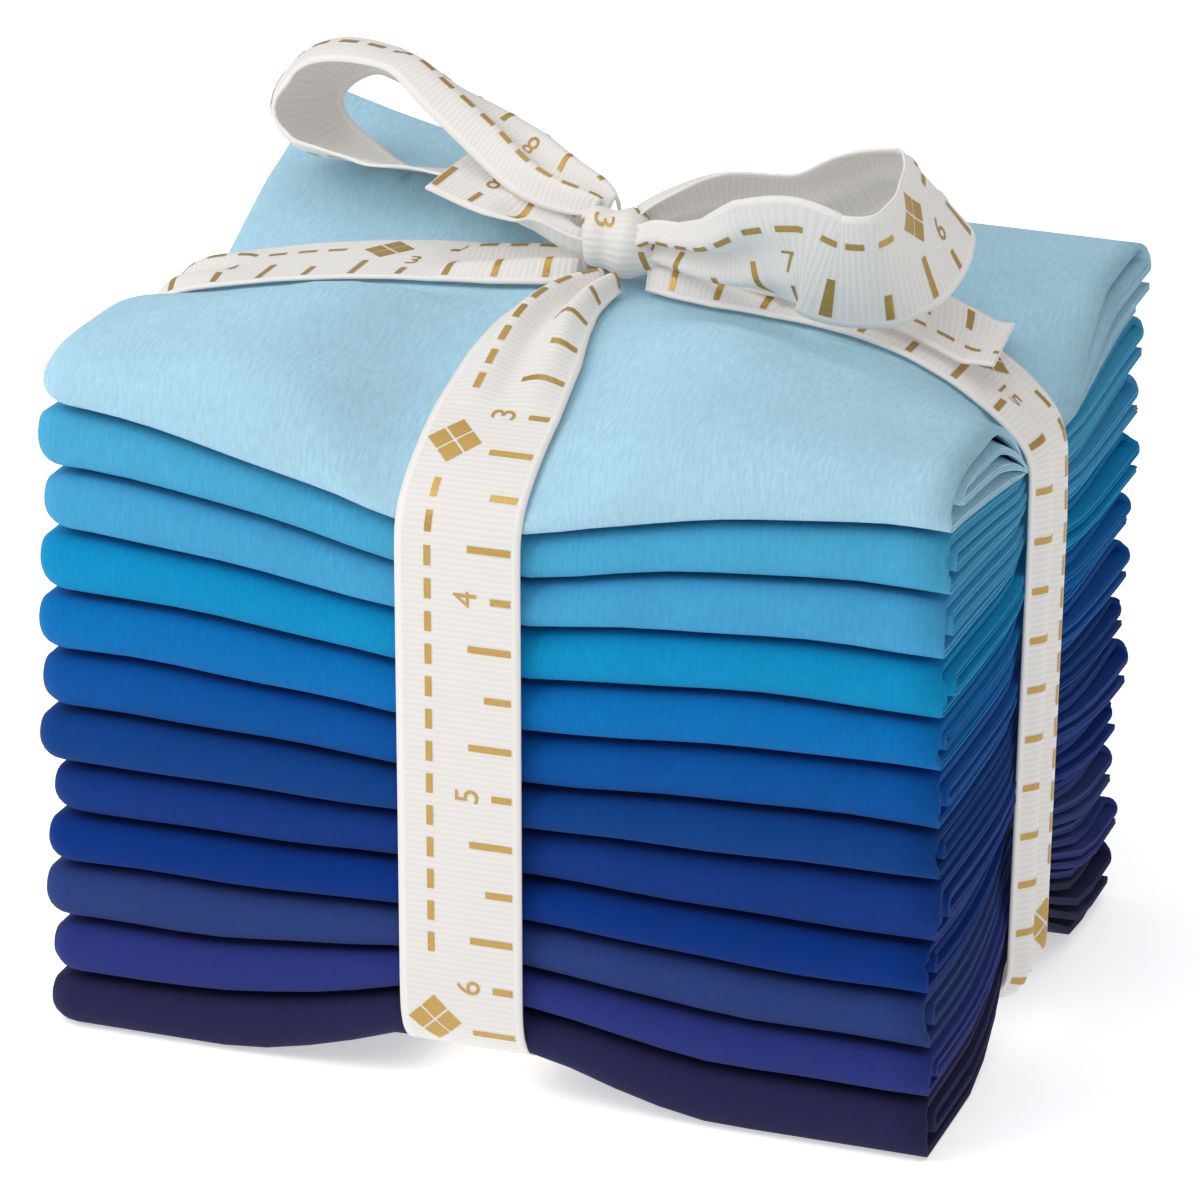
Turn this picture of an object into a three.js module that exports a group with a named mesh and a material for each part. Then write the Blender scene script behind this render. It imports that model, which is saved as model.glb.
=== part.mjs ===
// A fat quarter bundle: twelve folded cotton cloths in a stack, tied crosswise with one ribbon and a bow.
// Lengths are in millimetres. +Z is up, +X runs along the front from left to right, the front faces -Y.
// The origin is on the surface that the bundle stands on, under the middle of its bounding box.
import * as THREE from "three";

const { clamp, lerp, degToRad } = THREE.MathUtils;

// Size of one folded cloth: a quarter of 18 inches wide, a sixth of 22 inches deep less its folds.
const HALF_WIDTH = 57.2;
const HALF_DEPTH = 44;

// The middle of the bounding box, measured from the crossing of the stack's own middle lines.
const BOX_MIDDLE = { x: -1.1, y: 0.86 };

// Cloth: four layers to a fold, with air between the layers and between neighbours.
const LAYER = 1.48;
const LAYER_SHARE = 0.205;
const LAYER_AIR = 0.4;
const PIECE_AIR = 0.36;

// Folds: how far each rounded edge runs back from its nose, and the hollow inside the front fold.
const NOSE = 2.6;
const EYE = 1.9;
const BACK_NOSE = 1.6;
const TIGHT = 0.3;
const SOFT_END = { length: 1.8, squeeze: 0.62, inset: 1.6 };
const INNER_NOSE_SHARE = 0.6;
const TURN_STEPS = { outer: 6, middle: 4, inner: 2 };

// How far the two cut ends at the back stand in from the back fold, and how unevenly.
const CUT_ENDS = { bottom: 1, bottomStep: 0.8, second: 2.6, secondStep: 1.2 };

// Ribbon: five eighths of an inch wide.
const RIBBON_WIDTH = 15.9;
const RIBBON_THICKNESS = 1;
const RIBBON_AIR = 0.45;

// The ribbon crosses the front at TIE.x and the ends at TIE.y, and presses the stack flat that far from
// its middle line. Heights beside it are read half a ribbon away.
const TIE = { x: -2.8, y: 2 };
const FLAT = 9.5;
const HALF_RIBBON = 8;
const PULL_POWER = 1.5;
const REACH_X = { bottom: 32, top: 56 };
const REACH_Y = { bottom: 26, top: 44 };
const MID_PULL = { bottom: 0.5, top: 0.2 };
const TIE_FLOOR = 6;
const END_RISE = 2.5;

// Stations where the faces bend. All cloths share them, so neighbours stay parallel.
const STATIONS_X = [-34, TIE.x - FLAT, TIE.x + FLAT, 30, 46];
const STATIONS_Y = [-24, TIE.y - HALF_RIBBON, TIE.y + HALF_RIBBON, 28];
const EDGE_Y = { pressed: -37, loose: -31.5 };

// One row for each cloth from the bottom up. left, tie and right are its thickness at the front corners
// and under the ribbon. front, back, west and east are how far its edges stand out past the nominal size.
const COLUMNS = ["name", "colour", "left", "tie", "right", "front", "back", "west", "east"];
const CLOTHS = [
  ["navy", 0x2d2a55, 7.1, 6.2, 8.4, 0, -2.6, 2.4, -0.9],
  ["indigo", 0x373c91, 7.4, 5.2, 6, 0.3, -1.8, 1.7, -0.5],
  ["slate", 0x324691, 7.7, 5.9, 7.2, -0.2, -1.2, 2.6, -1.2],
  ["royal", 0x143c91, 6.7, 6, 6.6, 0.2, -1.9, 2, -1.1],
  ["cobalt", 0x234191, 6.6, 6.3, 8.4, -0.3, -1.6, 1, 0],
  ["denim", 0x234b9b, 7.5, 5.8, 6.4, 0.4, -2.9, 2.6, -0.4],
  ["azure", 0x055aa5, 7.7, 6.7, 7.4, 0, -1.4, 2, -0.3],
  ["cerulean", 0x0a78be, 7.9, 6.8, 6.6, 0.3, -1.5, 2.1, -0.3],
  ["turquoise", 0x1491cd, 7.9, 6.9, 7.6, 0.1, 0.2, 1.8, 0.2],
  ["sky", 0x44a0d2, 8.1, 6, 8.2, 0.4, 0, 0.8, -0.3],
  ["aqua", 0x46aad7, 8.2, 5.6, 7.5, 0.2, 1.4, 1.4, 0.3],
  ["ice", 0xb2d9ea, 8.5, 7, 7, 0.5, 2.2, 0.3, 0.4],
].map((row) => Object.fromEntries(row.map((value, i) => [COLUMNS[i], value])));
const TOP = CLOTHS.length - 1;
const FRONT_FACE = HALF_DEPTH + Math.max(...CLOTHS.map((cloth) => cloth.front));
const BACK_FACE = HALF_DEPTH + Math.max(...CLOTHS.map((cloth) => cloth.back));
const WEST_FACE = HALF_WIDTH + Math.max(...CLOTHS.map((cloth) => cloth.west));
const EAST_FACE = HALF_WIDTH + Math.max(...CLOTHS.map((cloth) => cloth.east));

// The top cloth is a loose pillow: its corner heights, its crown, the lifted corner at the back left,
// the long round front edge and the valleys that the ribbon presses into it.
const PILLOW = {
  frontLeft: 90.5,
  frontRight: 87.5,
  backLeft: 91,
  backRight: 89.5,
  crown: 7,
  lift: 9,
  valley: 27,
  middle: 90.6,
  frontDrop: 13,
  ridge: 0.8,
  leftDrop: 6.5,
  leftPower: 2.5,
  rightDrop: 15.5,
  rightPower: 4.5,
  noseLow: 2.5,
  noseHigh: 10,
  noseShare: 0.35,
};

// How hard the ribbon pulls at a distance from its middle line: 1 under it, 0 out of its reach.
function pull(distance, reach) {
  const run = clamp((Math.abs(distance) - FLAT) / (reach - FLAT), 0, 1);
  return (1 - run) ** PULL_POWER;
}

// The pull fades from the stack's edges, where t is 1, towards its middle, where t is 0.
function edgeShare(t, least) {
  return least + (1 - least) * Math.min(t * t, 1);
}

// Height of the face under cloth number k, from the thicknesses of the cloths below it.
function stackHeight(k, column) {
  return CLOTHS.slice(0, k).reduce((sum, cloth) => sum + cloth[column], 0);
}

function seamAt(k, x, y) {
  const share = k / CLOTHS.length;
  const corner = lerp(stackHeight(k, "left"), stackHeight(k, "right"), (x + HALF_WIDTH) / (2 * HALF_WIDTH));
  const least = lerp(MID_PULL.bottom, MID_PULL.top, share);
  const along = edgeShare(y / HALF_DEPTH, least) * pull(x - TIE.x, lerp(REACH_X.bottom, REACH_X.top, share));
  const cross = edgeShare(x / HALF_WIDTH, least) * pull(y - TIE.y, lerp(REACH_Y.bottom, REACH_Y.top, share));
  const total = along + cross;
  if (total === 0) return corner;
  const tie = TIE_FLOOR + stackHeight(k, "tie") + (END_RISE * cross) / total;
  return corner + (total - along * cross) * (tie - corner);
}

// The same face with straight runs between the shared stations.
function seam(k, x, y) {
  const marks = [-HALF_WIDTH, ...STATIONS_X, HALF_WIDTH];
  const next = Math.max(1, marks.findIndex((mark, i) => i > 0 && (x <= mark || i === marks.length - 1)));
  const [low, high] = [marks[next - 1], marks[next]];
  return lerp(seamAt(k, low, y), seamAt(k, high, y), (x - low) / (high - low));
}

// Height of the top cloth's upper face.
function pillow(x, y) {
  const u = clamp((x + HALF_WIDTH) / (2 * HALF_WIDTH), 0, 1);
  const v = clamp((y + HALF_DEPTH) / (2 * HALF_DEPTH), 0, 1);
  const s = clamp(x / HALF_WIDTH, -1, 1);
  const t = clamp(y / HALF_DEPTH, -1, 1);
  const front = lerp(PILLOW.frontLeft, PILLOW.frontRight, u);
  const back = lerp(PILLOW.backLeft, PILLOW.backRight, u);
  const lifted = x < 0 && y > 0 ? PILLOW.lift * s * s * t * t * t : 0;
  const lobe = lerp(front, back, v) + PILLOW.crown * (1 - s * s) * (1 - t * t) + lifted;
  const along = pull(x - TIE.x, PILLOW.valley);
  const cross = pull(y - TIE.y, PILLOW.valley);
  const total = along + cross;
  if (total === 0) return lobe;
  const alongHeight = PILLOW.middle - PILLOW.frontDrop * t * t;
  const leftDrop = PILLOW.leftDrop * Math.abs(s) ** PILLOW.leftPower;
  const rightDrop = PILLOW.rightDrop * Math.abs(s) ** PILLOW.rightPower;
  const crossHeight = PILLOW.middle + PILLOW.ridge - (x < 0 ? leftDrop : rightDrop);
  const valley = (along * alongHeight + cross * crossHeight) / total;
  return lobe + (total - along * cross) * (valley - lobe);
}

function lowerFace(k, x, y) {
  return seam(k, x, y) + (k === 0 ? 0 : PIECE_AIR / 2);
}

function upperFace(k, x, y) {
  return k === TOP ? pillow(x, y) : seam(k + 1, x, y) - PIECE_AIR / 2;
}

// Levels of the eight layer faces in a section, for a given layer and the air between two layers.
function layerLevels(layer, air) {
  return [0, 1, 2, 3].flatMap((i) => [i * (layer + air), i * (layer + air) + layer]);
}
const LEVELS = layerLevels(LAYER, LAYER_AIR);

// Moves a nominal level to its height between the cloth's two faces. Spare height becomes air.
function settle(level, low, high) {
  const layer = Math.min(LAYER, LAYER_SHARE * (high - low));
  const settled = layerLevels(layer, (high - low - 4 * layer) / 3);
  const next = clamp(LEVELS.findIndex((mark) => level <= mark + 1e-6), 1, LEVELS.length - 1);
  const part = (level - LEVELS[next - 1]) / (LEVELS[next] - LEVELS[next - 1]);
  return low + lerp(settled[next - 1], settled[next], part);
}

// The section of a folded cloth in (y, level): one strip of cloth, back and forth in four layers.
// The second layer's free end is at the back. The strip runs forward, turns, runs back, turns,
// runs forward over itself, turns round the outside of the front fold and ends at the bottom back.
function foldedRuns(k) {
  const cloth = CLOTHS[k];
  const loose = k === TOP;
  const front = -(HALF_DEPTH + cloth.front);
  const back = HALF_DEPTH + cloth.back;
  const noseShare = loose ? PILLOW.noseShare : 0.5;
  const low = loose ? PILLOW.noseLow : NOSE;
  const high = loose ? PILLOW.noseHigh : NOSE;
  const eye = loose ? 2 * EYE : EYE;

  function point(y, level) {
    return new THREE.Vector2(y, level);
  }

  function run(level, direction) {
    const edge = loose && level > LEVELS[0] ? EDGE_Y.loose : EDGE_Y.pressed;
    const stops = [edge, ...STATIONS_Y].map((y) => point(y, level));
    return direction > 0 ? stops : stops.reverse();
  }

  // A rounded turn from one level to another. facing is -1 at the front and +1 at the back.
  function turn(facing, tip, fromLevel, toLevel, lowRun, highRun, steps) {
    const bottom = Math.min(fromLevel, toLevel);
    const top = Math.max(fromLevel, toLevel);
    const nose = lerp(bottom, top, facing < 0 ? noseShare : 0.5);
    return Array.from({ length: steps + 1 }, (_, i) => {
      const rise = toLevel > fromLevel ? i / steps : 1 - i / steps;
      const angle = Math.PI * (rise - 0.5);
      const reach = angle < 0 ? lowRun : highRun;
      const half = angle < 0 ? nose - bottom : top - nose;
      return point(tip - facing * reach * (1 - Math.cos(angle)), nose + half * Math.sin(angle));
    });
  }

  const [b0, b1, b2, b3, b4, b5, b6, b7] = LEVELS;
  const innerNose = front + LAYER + eye;
  const innerHigh = loose ? high * INNER_NOSE_SHARE : LAYER;
  const insideLow = Math.max(low - LAYER, 2 * TIGHT);
  const bottomEnd = back - CUT_ENDS.bottom - (k % 3) * CUT_ENDS.bottomStep;
  const secondEnd = back - CUT_ENDS.second + (k % 2) * CUT_ENDS.secondStep;
  const { outer, middle, inner } = TURN_STEPS;
  return {
    bottomTip: [point(bottomEnd, b0)],
    bottom: run(b0, -1),
    frontTurn: turn(-1, front, b0, b7, low, high, outer),
    top: run(b7, 1),
    backTurn: turn(1, back, b7, b4, BACK_NOSE, BACK_NOSE, middle),
    thirdUnder: run(b4, -1),
    innerTurn: turn(-1, innerNose + LAYER, b4, b3, TIGHT, TIGHT, inner),
    secondOver: run(b3, 1),
    secondTip: [point(secondEnd, b3), point(secondEnd, b2)],
    secondUnder: run(b2, -1),
    innerTurnOutside: turn(-1, innerNose, b2, b5, LAYER, innerHigh, middle),
    thirdOver: run(b5, 1),
    backTurnInside: turn(1, back - LAYER, b5, b6, TIGHT, TIGHT, inner),
    topUnder: run(b6, -1),
    frontTurnInside: turn(-1, front + LAYER, b6, b1, insideLow, high - LAYER, middle),
    bottomOver: run(b1, 1),
    bottomCorner: [point(bottomEnd, b1)],
  };
}

// Stations of one cloth from its soft left end to its cut right end.
function clothStations(k) {
  const west = -(HALF_WIDTH + CLOTHS[k].west);
  return [west, west + SOFT_END.length, ...STATIONS_X, HALF_WIDTH + CLOTHS[k].east];
}

// Cuts every wall panel along the diagonal that rises towards +Y, so that the two faces
// of a seam bend alike and neighbours stay parallel. A panel is six corners: a b d, b c d.
function alignDiagonals(geometry) {
  const position = geometry.attributes.position;
  const walls = geometry.groups[1];
  const corner = new THREE.Vector3();
  function copy(from, to) {
    corner.fromBufferAttribute(position, from);
    position.setXYZ(to, corner.x, corner.y, corner.z);
  }
  for (let i = walls.start; i < walls.start + walls.count; i += 6) {
    if (position.getY(i) >= position.getY(i + 1)) continue;
    copy(i + 4, i + 2);
    copy(i, i + 3);
  }
}

function foldedCloth(k) {
  const stations = clothStations(k);
  const steps = stations.length - 1;
  const section = new THREE.Shape(Object.values(foldedRuns(k)).flat());
  const geometry = new THREE.ExtrudeGeometry(section, { depth: steps, steps, bevelEnabled: false });
  const position = geometry.attributes.position;
  for (let i = 0; i < position.count; i += 1) {
    const station = Math.round(position.getZ(i));
    const x = stations[station];
    let y = position.getX(i);
    const faces = [lowerFace(k, x, y), upperFace(k, x, y)];
    let z = settle(position.getY(i), faces[0], faces[1]);
    if (station === 0) {
      const middle = (faces[0] + faces[1]) / 2;
      z = lerp(middle, z, SOFT_END.squeeze);
      y *= 1 - SOFT_END.inset / HALF_DEPTH;
    }
    position.setXYZ(i, x, y, z);
  }
  alignDiagonals(geometry);
  geometry.computeVertexNormals();
  const material = new THREE.MeshStandardMaterial({ color: CLOTHS[k].colour, roughness: 0.92, metalness: 0 });
  const mesh = new THREE.Mesh(geometry, material);
  mesh.name = `cloth_${String(k + 1).padStart(2, "0")}_${CLOTHS[k].name}`;
  return mesh;
}

// A strip of ribbon through rows of { at, across, width, curl }. Its outer face looks along
// the direction of travel crossed with across. curl bends the strip over its width, in degrees.
function ribbonStrip(name, rows, { subdivisions = 1, lanes = 1 } = {}) {
  const steps = (rows.length - 1) * subdivisions;
  const path = new THREE.CatmullRomCurve3(rows.map((row) => row.at), false, "catmullrom", 0.5);
  const sides = new THREE.CatmullRomCurve3(rows.map((row) => row.across), false, "catmullrom", 0.5);
  const places = Array.from({ length: steps + 1 }, (_, i) => {
    const row = Math.min(Math.floor(i / subdivisions), rows.length - 2);
    const part = i / subdivisions - row;
    return {
      at: path.getPoint(i / steps),
      across: sides.getPoint(i / steps),
      width: lerp(rows[row].width, rows[row + 1].width, part),
      curl: degToRad(Math.max(lerp(rows[row].curl, rows[row + 1].curl, part), 1)),
    };
  });
  places.forEach((place, i) => {
    const before = places[Math.max(i - 1, 0)].at;
    const after = places[Math.min(i + 1, steps)].at;
    const tangent = after.clone().sub(before).normalize();
    place.normal = tangent.clone().cross(place.across).normalize();
    place.side = place.normal.clone().cross(tangent).normalize();
  });
  const geometry = new THREE.BoxGeometry(1, 1, 1, steps, lanes, 1);
  const position = geometry.attributes.position;
  for (let i = 0; i < position.count; i += 1) {
    const place = places[Math.round((position.getX(i) + 0.5) * steps)];
    const angle = position.getY(i) * place.curl;
    const radius = place.width / place.curl;
    const rise = radius * (Math.cos(angle) - Math.cos(place.curl / 2));
    const lift = position.getZ(i) * RIBBON_THICKNESS;
    const point = place.at.clone();
    point.addScaledVector(place.side, radius * Math.sin(angle) + lift * Math.sin(angle));
    point.addScaledVector(place.normal, rise + lift * Math.cos(angle));
    position.setXYZ(i, point.x, point.y, point.z);
  }
  geometry.computeVertexNormals();
  const mesh = new THREE.Mesh(geometry, ribbonMaterial());
  mesh.name = name;
  return mesh;
}

function ribbonMaterial() {
  return new THREE.MeshStandardMaterial({ color: 0xf4f1ee, roughness: 0.7, metalness: 0 });
}

const X_AXIS = new THREE.Vector3(1, 0, 0);
const BACKWARD = new THREE.Vector3(0, -1, 0);

// A belt keeps to the cloth's outline, given as points { u, z } in the belt's own upright plane, with
// the run turning round the stack so that (dz, -du) looks out. Every side of the outline moves out by
// the air and half the ribbon.
function beltRows(outline, toSpace, across) {
  const out = RIBBON_AIR + RIBBON_THICKNESS / 2;
  function outward(from, to) {
    return new THREE.Vector2(to.z - from.z, from.u - to.u).normalize();
  }
  return outline.map((point, i) => {
    const first = outward(outline[Math.max(i - 1, 0)], outline[Math.max(i, 1)]);
    const last = outline.length - 1;
    const second = outward(outline[Math.min(i, last - 1)], outline[Math.min(i + 1, last)]);
    const shift = first.clone().add(second).multiplyScalar(out / (1 + first.dot(second)));
    const at = toSpace(point.u + shift.x, point.z + shift.y);
    return { at, across, width: point.width ?? RIBBON_WIDTH, curl: 0 };
  });
}

// The knot sits on the crossing of the belts.
const KNOT = { x: 0.8, y: 2, z: 96.3, halfWidth: 4.6, halfDepth: 4.2, halfHeight: 4.3 };

// The belts narrow towards the knot, from these widths at these stations.
const NECK = { gap: 4.9, front: 5, side: 8, frontNear: 8, frontFar: 14.5, sideNear: 14 };

// Where the end belt turns over the soft left end: below the top cloth's ridge and above the bottom.
const WEST_CORNERS = { top: 4, bottom: 1.2 };

// The belt over the front and back: from the knot down the front, underneath and up the back.
function frontBelt() {
  const sides = [TIE.x - FLAT, TIE.x + FLAT];
  function outside(k, point, pick) {
    const heights = sides.map((x) => settle(point.y, lowerFace(k, x, point.x), upperFace(k, x, point.x)));
    return { u: point.x, z: pick(...heights) };
  }
  const above = (point) => outside(TOP, point, Math.max);
  const below = (point) => outside(0, point, Math.min);
  const upper = foldedRuns(TOP);
  const lower = foldedRuns(0);
  const topLevel = LEVELS[LEVELS.length - 1];
  function neck(side) {
    return { ...above(new THREE.Vector2(TIE.y + side * NECK.gap, topLevel)), width: NECK.front };
  }
  const [edge, frontFar, frontNear, backNear, backFar] = upper.top.map(above);
  const shoulder = [...upper.frontTurn].reverse().slice(0, 4).map(above);
  const heel = [...lower.frontTurn].reverse().slice(3).map(below);
  const outline = [
    neck(-1),
    { ...frontNear, width: NECK.frontNear },
    { ...frontFar, width: NECK.frontFar },
    edge,
    ...shoulder,
    { u: -FRONT_FACE, z: heel[0].z },
    ...heel.slice(1),
    ...[...lower.bottom].reverse().map(below),
    below(lower.bottomTip[0]),
    { u: HALF_DEPTH - CUT_ENDS.bottom, z: heel[0].z },
    { u: BACK_FACE, z: above(upper.backTurn[2]).z },
    above(upper.backTurn[0]),
    { ...backFar, width: NECK.frontFar },
    { ...backNear, width: NECK.frontNear },
    neck(1),
  ];
  const rows = beltRows(outline, (y, z) => new THREE.Vector3(TIE.x, y, z), X_AXIS);
  return ribbonStrip("ribbon_front_belt", rows);
}

// Height of the top cloth's ridge under the ribbon that crosses the ends.
function crossTop(x) {
  return Math.max(...[TIE.y - HALF_RIBBON, TIE.y + HALF_RIBBON].map((y) => pillow(x, y)));
}

// The belt over the two ends: from the knot down the left end, under the front belt and up the right.
function endBelt() {
  const top = (x) => ({ u: x, z: crossTop(x) });
  const floor = (x, rise = 0) => {
    const heights = [TIE.y - HALF_RIBBON, TIE.y + HALF_RIBBON].map((y) => lowerFace(0, x, y));
    const under = Math.abs(x - TIE.x) < FLAT + 1 ? RIBBON_THICKNESS + RIBBON_AIR : 0;
    return { u: x, z: Math.min(...heights) - under + rise };
  };
  const [farLeft, nearLeft, nearRight, right, farRight] = STATIONS_X;
  const west = clothStations(0)[1];
  const westTop = clothStations(TOP)[0];
  const outline = [
    { ...top(KNOT.x - NECK.gap), width: NECK.side },
    { ...top(nearLeft), width: NECK.sideNear },
    top(farLeft),
    top(westTop + SOFT_END.length),
    { u: -WEST_FACE, z: top(westTop).z - WEST_CORNERS.top },
    { ...floor(west, WEST_CORNERS.bottom), u: -WEST_FACE },
    floor(west),
    ...STATIONS_X.map((x) => floor(x)),
    { ...floor(HALF_WIDTH), u: EAST_FACE },
    { ...top(HALF_WIDTH), u: EAST_FACE },
    top(farRight),
    top(right),
    { ...top(nearRight), width: NECK.sideNear },
    { ...top(KNOT.x + NECK.gap), width: NECK.side },
  ];
  const rows = beltRows(outline, (x, z) => new THREE.Vector3(x, TIE.y, z), BACKWARD);
  return ribbonStrip("ribbon_end_belt", rows);
}

function knot() {
  const geometry = new THREE.SphereGeometry(1, 16, 10);
  geometry.rotateX(Math.PI / 2);
  geometry.scale(KNOT.halfWidth, KNOT.halfDepth, KNOT.halfHeight);
  geometry.translate(KNOT.x, KNOT.y, KNOT.z);
  const mesh = new THREE.Mesh(geometry, ribbonMaterial());
  mesh.name = "ribbon_knot";
  return mesh;
}

// Rows of a free strip. x, y, z is the middle of the chord. heading turns the width from +Y towards +X
// and lean tips it down, in degrees. width is that of the gathered ribbon.
function freeRows(table) {
  return table.map(({ x, y, z, heading, lean, width = RIBBON_WIDTH, curl = 0 }) => {
    const across = new THREE.Vector3(0, 1, 0);
    across.applyAxisAngle(X_AXIS, -degToRad(lean));
    across.applyAxisAngle(new THREE.Vector3(0, 0, 1), -degToRad(heading));
    return { at: new THREE.Vector3(x, y, z), across, width, curl };
  });
}

// The left loop leaves the knot low, turns up at the far left and comes back arched over its width.
const LEFT_LOOP = [
  { x: -5.2, y: 5, z: 95.6, heading: -22, lean: 5, width: 6 },
  { x: -10, y: 9, z: 96.5, heading: -22, lean: 8, width: 9 },
  { x: -16.5, y: 13, z: 97.1, heading: -22, lean: 12, width: 13 },
  { x: -22.2, y: 16.2, z: 97.3, heading: -22, lean: 14 },
  { x: -30.5, y: 17.5, z: 97.8, heading: -21, lean: 16 },
  { x: -37, y: 19, z: 97.4, heading: -19, lean: 16 },
  { x: -42.6, y: 21.5, z: 97.8, heading: -8, lean: 11, curl: 30 },
  { x: -47.8, y: 24, z: 99.4, heading: 9, lean: 5, curl: 90 },
  { x: -50.2, y: 25, z: 102.5, heading: 21, lean: 11, curl: 120 },
  { x: -47.6, y: 25, z: 106.2, heading: 2, lean: 30, curl: 140 },
  { x: -43, y: 23, z: 108.1, heading: -11, lean: 33, curl: 140 },
  { x: -35.3, y: 20, z: 108, heading: -15, lean: 38, curl: 140 },
  { x: -28, y: 16, z: 106.4, heading: -17, lean: 30, width: 14, curl: 130 },
  { x: -17.5, y: 12, z: 105.2, heading: -5, lean: 11, width: 10.5, curl: 110 },
  { x: -10.2, y: 8, z: 103.4, heading: -4, lean: 5, width: 8.5, curl: 60 },
  { x: -4, y: 5, z: 101.2, heading: -4, lean: -7, width: 6, curl: 20 },
];

// The right loop leaves the knot at the back, turns round the right and comes back along the front.
const RIGHT_LOOP = [
  { x: 7.2, y: 5, z: 99.3, heading: -4, lean: 56, width: 9 },
  { x: 12.2, y: 9, z: 100.3, heading: -7, lean: 55, width: 12 },
  { x: 21.5, y: 13, z: 99.8, heading: 8, lean: 53, width: 13 },
  { x: 30.1, y: 13, z: 104.4, heading: 28, lean: 39, width: 13 },
  { x: 38.3, y: 10, z: 105.1, heading: 42, lean: 47 },
  { x: 40.7, y: 5, z: 103.9, heading: 48, lean: 54 },
  { x: 41.3, y: -1, z: 102.6, heading: 57, lean: 63 },
  { x: 40.7, y: -6, z: 101.5, heading: 36, lean: 64 },
  { x: 38.2, y: -10, z: 100.3, heading: 27, lean: 68 },
  { x: 32.9, y: -11, z: 100.2, heading: 33, lean: 72 },
  { x: 28.3, y: -11, z: 101.6, heading: 37, lean: 76 },
  { x: 22.8, y: -9, z: 100.9, heading: 0, lean: 63, width: 15.5 },
  { x: 17.1, y: -6, z: 99.2, heading: 13, lean: 60, width: 11 },
  { x: 11.5, y: -2.5, z: 98.2, heading: -14, lean: 62, width: 7 },
  { x: 6.9, y: 0.5, z: 97.8, heading: -5, lean: 60, width: 6 },
];

// The left tail stands off over the left loop's lower run.
const LEFT_TAIL = [
  { x: -4.9, y: 1.6, z: 97.8, heading: -19, lean: -8, width: 6 },
  { x: -8.2, y: 4, z: 99, heading: -6, lean: -9, width: 13 },
  { x: -13.5, y: 6, z: 100.2, heading: -4, lean: -11 },
  { x: -19.3, y: 8, z: 101.2, heading: -2, lean: -11 },
  { x: -23.2, y: 9, z: 101.9, heading: -1, lean: -9 },
];

// The right tail lies along the end belt, a little further back.
const RIGHT_TAIL = [
  { x: 7.5, y: 5.5, width: 7 },
  { x: 12, y: 5.5, width: 13 },
  { x: 22, y: 5.3 },
  { x: 30, y: 5 },
  { x: 38, y: 4.7 },
  { x: 47.5, y: 4.5 },
];

function rightTail() {
  const rows = RIGHT_TAIL.map((row) => {
    const rise = 2 * RIBBON_AIR + 1.5 * RIBBON_THICKNESS;
    return { ...row, z: crossTop(Math.min(row.x, STATIONS_X.at(-1))) + rise, heading: 0, lean: 0 };
  });
  return ribbonStrip("ribbon_right_tail", freeRows(rows));
}

const group = new THREE.Group();
CLOTHS.forEach((_, k) => group.add(foldedCloth(k)));
group.add(frontBelt(), endBelt(), knot());
group.add(ribbonStrip("ribbon_left_loop", freeRows(LEFT_LOOP), { subdivisions: 2, lanes: 4 }));
group.add(ribbonStrip("ribbon_right_loop", freeRows(RIGHT_LOOP), { subdivisions: 2, lanes: 2 }));
group.add(ribbonStrip("ribbon_left_tail", freeRows(LEFT_TAIL)));
group.add(rightTail());
group.position.set(-BOX_MIDDLE.x, -BOX_MIDDLE.y, 0);

export default group;
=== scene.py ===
# %% [markdown]
# # A fat quarter bundle
# Twelve folded cotton cloths lie in a stack, dark at the bottom and pale on top. One white ribbon with a
# gold ruler print crosses the stack and is tied in a bow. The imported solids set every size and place.
# This lesson dresses them: real folded plies for the cloth, thin curved strips for the ribbon.

import math

import bpy
import numpy as np
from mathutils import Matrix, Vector


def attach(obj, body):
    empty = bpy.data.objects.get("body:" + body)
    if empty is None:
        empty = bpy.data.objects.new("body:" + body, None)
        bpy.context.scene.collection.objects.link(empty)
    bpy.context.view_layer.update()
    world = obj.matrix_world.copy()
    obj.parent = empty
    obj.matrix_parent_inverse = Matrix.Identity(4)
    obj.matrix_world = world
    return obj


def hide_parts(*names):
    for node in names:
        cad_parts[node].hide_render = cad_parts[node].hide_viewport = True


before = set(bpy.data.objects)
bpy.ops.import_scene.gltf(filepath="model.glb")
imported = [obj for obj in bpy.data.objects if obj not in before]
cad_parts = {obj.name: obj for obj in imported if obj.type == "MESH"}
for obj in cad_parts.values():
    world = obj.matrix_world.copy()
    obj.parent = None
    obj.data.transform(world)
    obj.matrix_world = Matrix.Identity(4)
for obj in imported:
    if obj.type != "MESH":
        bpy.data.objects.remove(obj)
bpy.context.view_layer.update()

# %% [markdown]
# ## Camera, floor and light
# A product photograph like this is taken from a little above, with a long lens, on a white sweep. The
# camera's turn, height and lens come from lining up the stack's corners and the ribbon's inch marks.

# %% Place the camera
VIEW = {"azimuth": 19.9, "elevation": 21.3, "distance": 0.74235, "lens": 176.19}
AIM = Vector((-0.00002, -0.00086, 0.049245))


def view_direction(azimuth, elevation):
    turn, rise = math.radians(azimuth), math.radians(elevation)
    return Vector((math.sin(turn) * math.cos(rise), -math.cos(turn) * math.cos(rise), math.sin(rise)))


def add_object(name, data):
    made = bpy.data.objects.new(name, data)
    bpy.context.scene.collection.objects.link(made)
    return made


camera = add_object("camera", bpy.data.cameras.new("camera"))
camera.data.lens = VIEW["lens"]
camera.data.sensor_width = 36
camera.data.clip_start = 0.01
camera.data.clip_end = 20
toward = view_direction(VIEW["azimuth"], VIEW["elevation"])
camera.location = AIM + toward * VIEW["distance"]
camera.rotation_euler = (-toward).to_track_quat("-Z", "Y").to_euler()
bpy.context.scene.camera = camera
print("camera at", [round(c, 3) for c in camera.location])

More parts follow.
